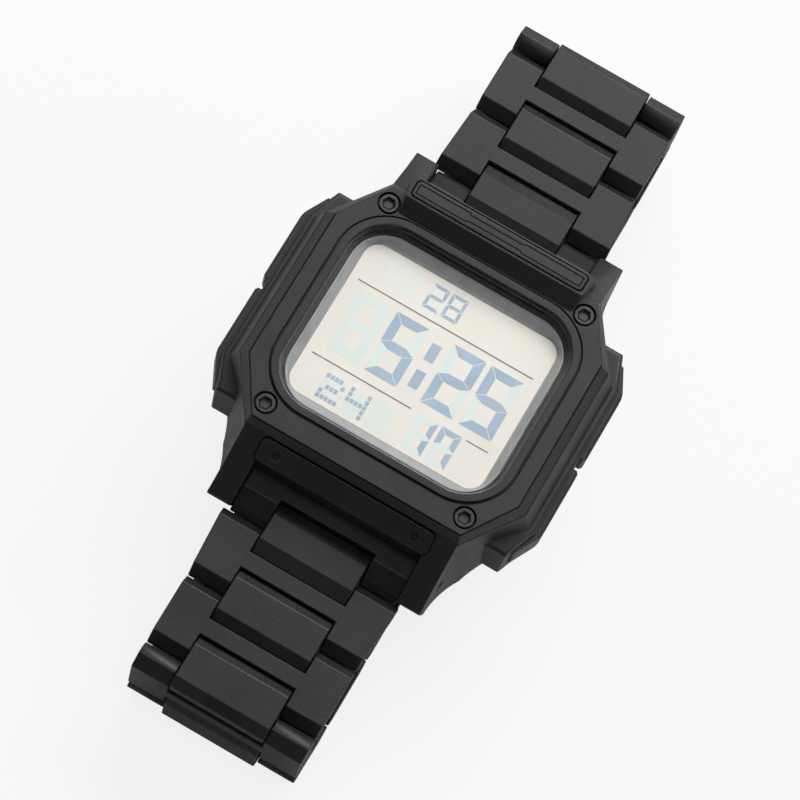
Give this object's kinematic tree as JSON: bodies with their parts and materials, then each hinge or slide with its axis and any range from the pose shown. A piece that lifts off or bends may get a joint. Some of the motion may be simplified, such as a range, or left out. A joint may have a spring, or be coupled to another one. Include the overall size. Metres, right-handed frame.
{
  "type": "digital watch",
  "caption": "Square digital watch with an octagonal bezel, four side buttons, a link bracelet and a folding clasp.",
  "frame": {"origin": "under the middle of the watch, on the surface that its folded bracelet lies on", "axes": "+X to 3 o'clock, +Y to 12 o'clock, +Z out of the dial"},
  "size_m": [0.0468, 0.102, 0.0257],
  "materials": {
    "case_resin": "fine grained black",
    "link_resin": "fine grained black",
    "black_steel": "black plated",
    "plain_steel": "satin",
    "display_glass": "clear",
    "gasket_rubber": "matte",
    "ring_grey": "satin",
    "lcd_cream": "satin",
    "light_guide": "milky",
    "strip_rubber": "matte",
    "holder_plastic": "moulded",
    "board_green": "solder mask",
    "battery_steel": "plated",
    "buzzer_brass": "satin"
  },
  "bodies": {
    "case": {"case_body": "case_resin", "bezel": "case_resin", "bezel_screws": "black_steel", "glass": "display_glass", "glass_gasket": "gasket_rubber", "display_ring": "ring_grey", "lcd_panel": "lcd_cream", "backlight_panel": "light_guide", "connector_strips": "strip_rubber", "module_holder": "holder_plastic", "circuit_board": "board_green", "battery": "battery_steel", "battery_clip": "plain_steel", "buzzer": "buzzer_brass", "case_back": "black_steel", "back_gasket": "gasket_rubber", "back_screws": "plain_steel", "upper_bar_plate": "case_resin", "lower_plate": "case_resin", "end_links": "case_resin", "lug_spring_bars": "plain_steel", "button_spring_upper_right": "plain_steel", "button_spring_lower_right": "plain_steel", "button_spring_upper_left": "plain_steel", "button_spring_lower_left": "plain_steel"},
    "button_upper_right": {"button_upper_right": "case_resin"},
    "button_lower_right": {"button_lower_right": "case_resin"},
    "button_upper_left": {"button_upper_left": "case_resin"},
    "button_lower_left": {"button_lower_left": "case_resin"},
    "upper_centre_link_1": {"upper_centre_link_1": "link_resin"},
    "upper_wide_link_1": {"upper_wide_link_1": "link_resin"},
    "upper_centre_link_2": {"upper_centre_link_2": "link_resin"},
    "upper_wide_link_2": {"upper_wide_link_2": "link_resin"},
    "upper_centre_link_3": {"upper_centre_link_3": "link_resin"},
    "upper_wide_link_3": {"upper_wide_link_3": "link_resin"},
    "upper_centre_link_4": {"upper_centre_link_4": "link_resin"},
    "upper_wide_link_4": {"upper_wide_link_4": "link_resin"},
    "upper_centre_link_5": {"upper_centre_link_5": "link_resin"},
    "upper_wide_link_5": {"upper_wide_link_5": "link_resin"},
    "upper_centre_link_6": {"upper_centre_link_6": "link_resin"},
    "upper_wide_link_6": {"upper_wide_link_6": "link_resin"},
    "upper_centre_link_7": {"upper_centre_link_7": "link_resin"},
    "lower_centre_link_1": {"lower_centre_link_1": "link_resin"},
    "lower_wide_link_1": {"lower_wide_link_1": "link_resin"},
    "lower_centre_link_2": {"lower_centre_link_2": "link_resin"},
    "lower_wide_link_2": {"lower_wide_link_2": "link_resin"},
    "lower_centre_link_3": {"lower_centre_link_3": "link_resin"},
    "lower_wide_link_3": {"lower_wide_link_3": "link_resin"},
    "lower_centre_link_4": {"lower_centre_link_4": "link_resin"},
    "lower_wide_link_4": {"lower_wide_link_4": "link_resin"},
    "lower_centre_link_5": {"lower_centre_link_5": "link_resin"},
    "lower_wide_link_5": {"lower_wide_link_5": "link_resin"},
    "lower_centre_link_6": {"lower_centre_link_6": "link_resin"},
    "lower_wide_link_6": {"lower_wide_link_6": "link_resin"},
    "lower_centre_link_7": {"lower_centre_link_7": "link_resin"},
    "clasp_inner_blade": {"clasp_inner_blade": "black_steel"},
    "clasp_middle_blade": {"clasp_middle_blade": "black_steel"},
    "clasp_cover": {"clasp_cover": "black_steel"},
    "clasp_pusher_right": {"clasp_pusher_right": "black_steel"},
    "clasp_pusher_left": {"clasp_pusher_left": "black_steel"}
  },
  "joints": [
    {"name": "button_upper_right_press", "type": "slide", "parent": "case", "child": "button_upper_right", "axis": [-1, 0, 0], "range_m": [0, 0.0008], "stiffness_N_per_m": 400, "springref_m": -0.0006, "deforming": ["button_spring_upper_right"]},
    {"name": "button_lower_right_press", "type": "slide", "parent": "case", "child": "button_lower_right", "axis": [-1, 0, 0], "range_m": [0, 0.0008], "stiffness_N_per_m": 400, "springref_m": -0.0006, "deforming": ["button_spring_lower_right"]},
    {"name": "button_upper_left_press", "type": "slide", "parent": "case", "child": "button_upper_left", "axis": [1, 0, 0], "range_m": [0, 0.0008], "stiffness_N_per_m": 400, "springref_m": -0.0006, "deforming": ["button_spring_upper_left"]},
    {"name": "button_lower_left_press", "type": "slide", "parent": "case", "child": "button_lower_left", "axis": [1, 0, 0], "range_m": [0, 0.0008], "stiffness_N_per_m": 400, "springref_m": -0.0006, "deforming": ["button_spring_lower_left"]},
    {"name": "upper_pivot_0", "type": "hinge", "parent": "case", "child": "upper_centre_link_1", "pos_m": [0, 0.02505, 0.01457], "axis": [-1, 0, 0], "range_deg": [-5, 0]},
    {"name": "upper_pivot_1", "type": "hinge", "parent": "upper_centre_link_1", "child": "upper_wide_link_1", "pos_m": [0, 0.02885, 0.01457], "axis": [-1, 0, 0], "range_deg": [-5, 0]},
    {"name": "upper_pivot_2", "type": "hinge", "parent": "upper_wide_link_1", "child": "upper_centre_link_2", "pos_m": [0, 0.03505, 0.01457], "axis": [-1, 0, 0], "range_deg": [-5, 0]},
    {"name": "upper_pivot_3", "type": "hinge", "parent": "upper_centre_link_2", "child": "upper_wide_link_2", "pos_m": [0, 0.03885, 0.01457], "axis": [-1, 0, 0], "range_deg": [-5, 0]},
    {"name": "upper_pivot_4", "type": "hinge", "parent": "upper_wide_link_2", "child": "upper_centre_link_3", "pos_m": [0, 0.04505, 0.01457], "axis": [-1, 0, 0], "range_deg": [-5, 0]},
    {"name": "upper_pivot_5", "type": "hinge", "parent": "upper_centre_link_3", "child": "upper_wide_link_3", "pos_m": [0, 0.04885, 0.01457], "axis": [1, 0, 0], "range_deg": [0, 90]},
    {"name": "upper_pivot_6", "type": "hinge", "parent": "upper_wide_link_3", "child": "upper_centre_link_4", "pos_m": [0, 0.04885, 0.00837], "axis": [-1, 0, 0], "range_deg": [-5, 2]},
    {"name": "upper_pivot_7", "type": "hinge", "parent": "upper_centre_link_4", "child": "upper_wide_link_4", "pos_m": [0, 0.04885, 0.00457], "axis": [1, 0, 0], "range_deg": [0, 70]},
    {"name": "upper_pivot_8", "type": "hinge", "parent": "upper_wide_link_4", "child": "upper_centre_link_5", "pos_m": [0, 0.04312, 0.0022], "axis": [1, 0, 0], "range_deg": [0, 25]},
    {"name": "upper_pivot_9", "type": "hinge", "parent": "upper_centre_link_5", "child": "upper_wide_link_5", "pos_m": [0, 0.03932, 0.0022], "axis": [-1, 0, 0], "range_deg": [-5, 4]},
    {"name": "upper_pivot_10", "type": "hinge", "parent": "upper_wide_link_5", "child": "upper_centre_link_6", "pos_m": [0, 0.03312, 0.0022], "axis": [-1, 0, 0], "range_deg": [-5, 4]},
    {"name": "upper_pivot_11", "type": "hinge", "parent": "upper_centre_link_6", "child": "upper_wide_link_6", "pos_m": [0, 0.02932, 0.0022], "axis": [-1, 0, 0], "range_deg": [-5, 4]},
    {"name": "upper_pivot_12", "type": "hinge", "parent": "upper_wide_link_6", "child": "upper_centre_link_7", "pos_m": [0, 0.02312, 0.0022], "axis": [-1, 0, 0], "range_deg": [-5, 4]},
    {"name": "lower_pivot_0", "type": "hinge", "parent": "case", "child": "lower_centre_link_1", "pos_m": [0, -0.02505, 0.01457], "axis": [1, 0, 0], "range_deg": [-5, 0]},
    {"name": "lower_pivot_1", "type": "hinge", "parent": "lower_centre_link_1", "child": "lower_wide_link_1", "pos_m": [0, -0.02885, 0.01457], "axis": [1, 0, 0], "range_deg": [-5, 0]},
    {"name": "lower_pivot_2", "type": "hinge", "parent": "lower_wide_link_1", "child": "lower_centre_link_2", "pos_m": [0, -0.03505, 0.01457], "axis": [1, 0, 0], "range_deg": [-5, 0]},
    {"name": "lower_pivot_3", "type": "hinge", "parent": "lower_centre_link_2", "child": "lower_wide_link_2", "pos_m": [0, -0.03885, 0.01457], "axis": [1, 0, 0], "range_deg": [-5, 0]},
    {"name": "lower_pivot_4", "type": "hinge", "parent": "lower_wide_link_2", "child": "lower_centre_link_3", "pos_m": [0, -0.04505, 0.01457], "axis": [1, 0, 0], "range_deg": [-5, 0]},
    {"name": "lower_pivot_5", "type": "hinge", "parent": "lower_centre_link_3", "child": "lower_wide_link_3", "pos_m": [0, -0.04885, 0.01457], "axis": [-1, 0, 0], "range_deg": [0, 90]},
    {"name": "lower_pivot_6", "type": "hinge", "parent": "lower_wide_link_3", "child": "lower_centre_link_4", "pos_m": [0, -0.04885, 0.00837], "axis": [1, 0, 0], "range_deg": [-5, 2]},
    {"name": "lower_pivot_7", "type": "hinge", "parent": "lower_centre_link_4", "child": "lower_wide_link_4", "pos_m": [0, -0.04885, 0.00457], "axis": [-1, 0, 0], "range_deg": [0, 70]},
    {"name": "lower_pivot_8", "type": "hinge", "parent": "lower_wide_link_4", "child": "lower_centre_link_5", "pos_m": [0, -0.04312, 0.0022], "axis": [-1, 0, 0], "range_deg": [0, 25]},
    {"name": "lower_pivot_9", "type": "hinge", "parent": "lower_centre_link_5", "child": "lower_wide_link_5", "pos_m": [0, -0.03932, 0.0022], "axis": [1, 0, 0], "range_deg": [-5, 4]},
    {"name": "lower_pivot_10", "type": "hinge", "parent": "lower_wide_link_5", "child": "lower_centre_link_6", "pos_m": [0, -0.03312, 0.0022], "axis": [1, 0, 0], "range_deg": [-5, 4]},
    {"name": "lower_pivot_11", "type": "hinge", "parent": "lower_centre_link_6", "child": "lower_wide_link_6", "pos_m": [0, -0.02932, 0.0022], "axis": [1, 0, 0], "range_deg": [-5, 4]},
    {"name": "lower_pivot_12", "type": "hinge", "parent": "lower_wide_link_6", "child": "lower_centre_link_7", "pos_m": [0, -0.02312, 0.0022], "axis": [1, 0, 0], "range_deg": [-5, 4]},
    {"name": "upper_pivot_13", "type": "hinge", "parent": "upper_centre_link_7", "child": "clasp_inner_blade", "pos_m": [0, 0.01932, 0.0022], "axis": [1, 0, 0], "range_deg": [0, 70]},
    {"name": "clasp_blade_hinge", "type": "hinge", "parent": "clasp_inner_blade", "child": "clasp_middle_blade", "pos_m": [0, -0.0142, 0.00267], "axis": [-1, 0, 0], "range_deg": [0, 130]},
    {"name": "clasp_cover_hinge", "type": "hinge", "parent": "clasp_middle_blade", "child": "clasp_cover", "pos_m": [0, 0.0124, 0.002], "axis": [1, 0, 0], "range_deg": [0, 130]},
    {"name": "clasp_pusher_right_press", "type": "slide", "parent": "clasp_cover", "child": "clasp_pusher_right", "axis": [-1, 0, 0], "range_m": [0, 0.00045], "stiffness_N_per_m": 500, "springref_m": -0.0005},
    {"name": "clasp_pusher_left_press", "type": "slide", "parent": "clasp_cover", "child": "clasp_pusher_left", "axis": [1, 0, 0], "range_m": [0, 0.00045], "stiffness_N_per_m": 500, "springref_m": -0.0005}
  ],
  "couplings": [
    {"joint": "clasp_blade_hinge", "follows": "clasp_cover_hinge", "ratio": 1}
  ]
}
